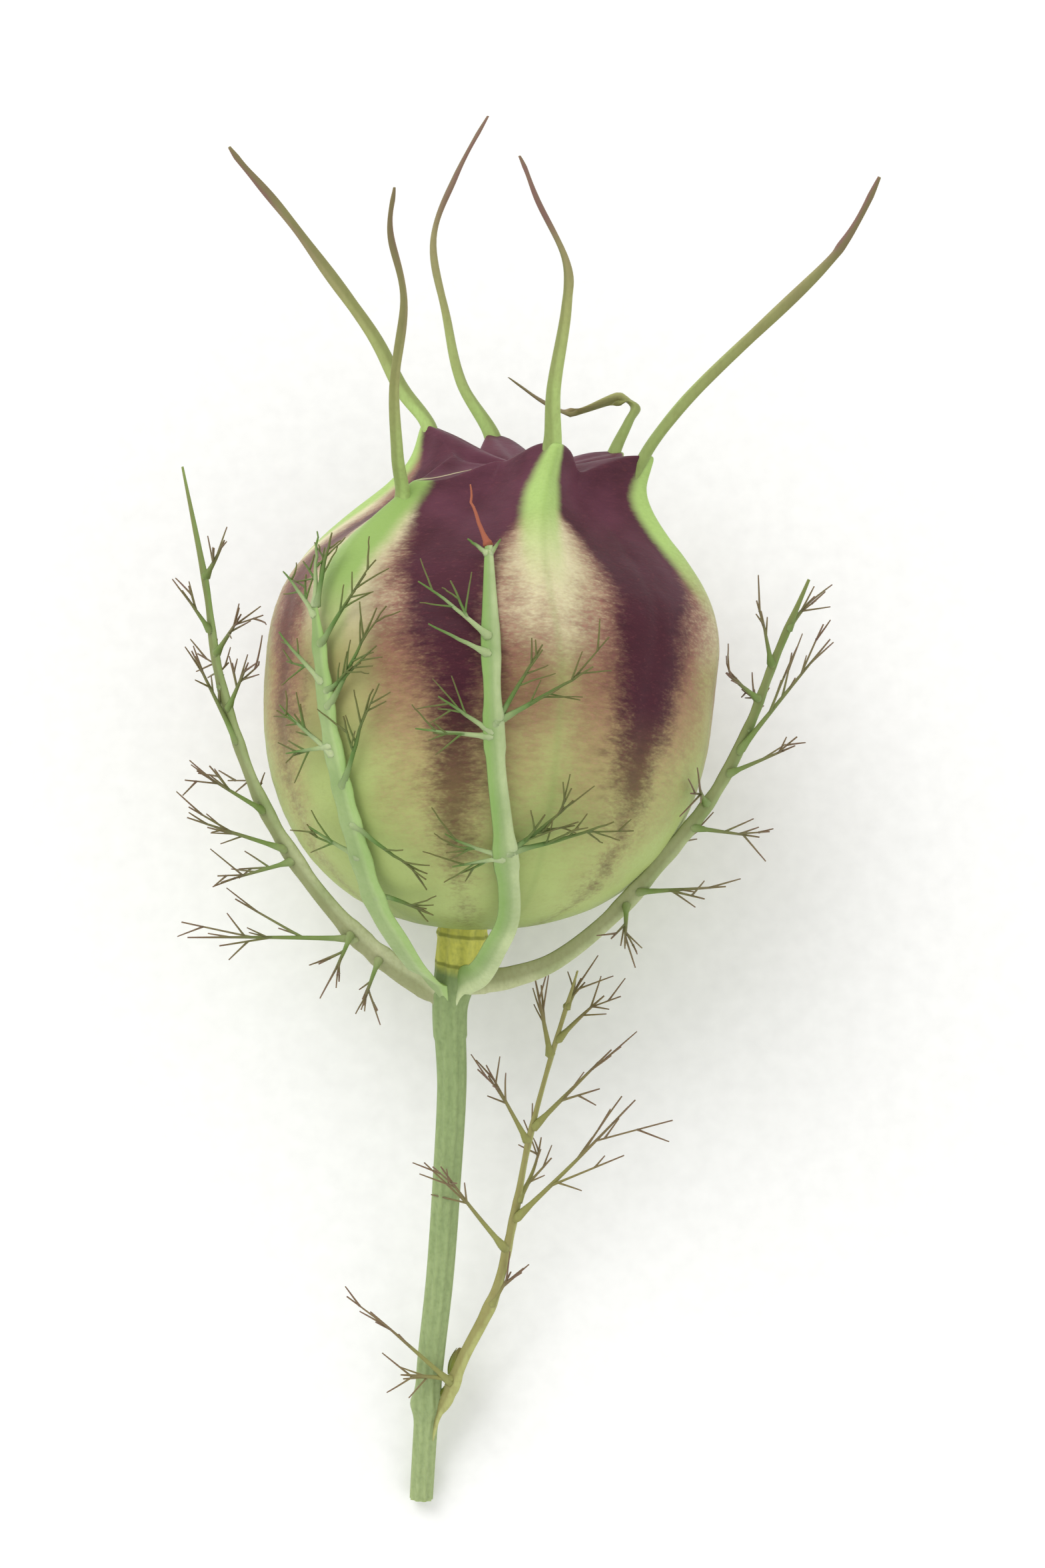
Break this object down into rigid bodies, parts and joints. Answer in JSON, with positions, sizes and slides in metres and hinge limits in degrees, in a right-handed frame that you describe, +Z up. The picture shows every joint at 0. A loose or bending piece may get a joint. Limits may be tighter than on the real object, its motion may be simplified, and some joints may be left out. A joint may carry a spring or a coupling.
{
  "type": "nigella seed pod",
  "caption": "Inflated, ridged nigella seed pod with long curling styles, a ruff of thread-like bracts, a cut stem and a feathery stem leaf, lying on its side.",
  "frame": {"origin": "bottom centre of the bounding box, on the surface that the pod lies on", "axes": "+Y from the cut stem towards the styles, +X to the right of the pod seen from above with the styles away from the viewer, +Z up"},
  "size_m": [0.0394, 0.0786, 0.03],
  "materials": {
    "capsule": "fresh papery skin, pale green with dark purple bands between the ridges, satin",
    "style": "fresh green at the base to dry brown at the tip, satin",
    "bract": "fresh green midribs, darker threads with brownish ends, satin",
    "stem": "fresh green ribbed stem, satin",
    "leaf": "fresh olive-green thread-like leaf, satin",
    "bud": "yellow-green resting bud, satin"
  },
  "bodies": {
    "root": {"stem": "stem", "capsule": "capsule", "style_far_left": "style", "style_front_left": "style", "style_front": "style", "style_right": "style", "style_bent": "style", "style_back": "style", "bract_right": "bract", "bract_left": "bract", "bract_front_left": "bract", "bract_front": "bract", "bract_back": "bract", "leaf": "leaf", "axillary_bud": "bud"}
  },
  "joints": []
}
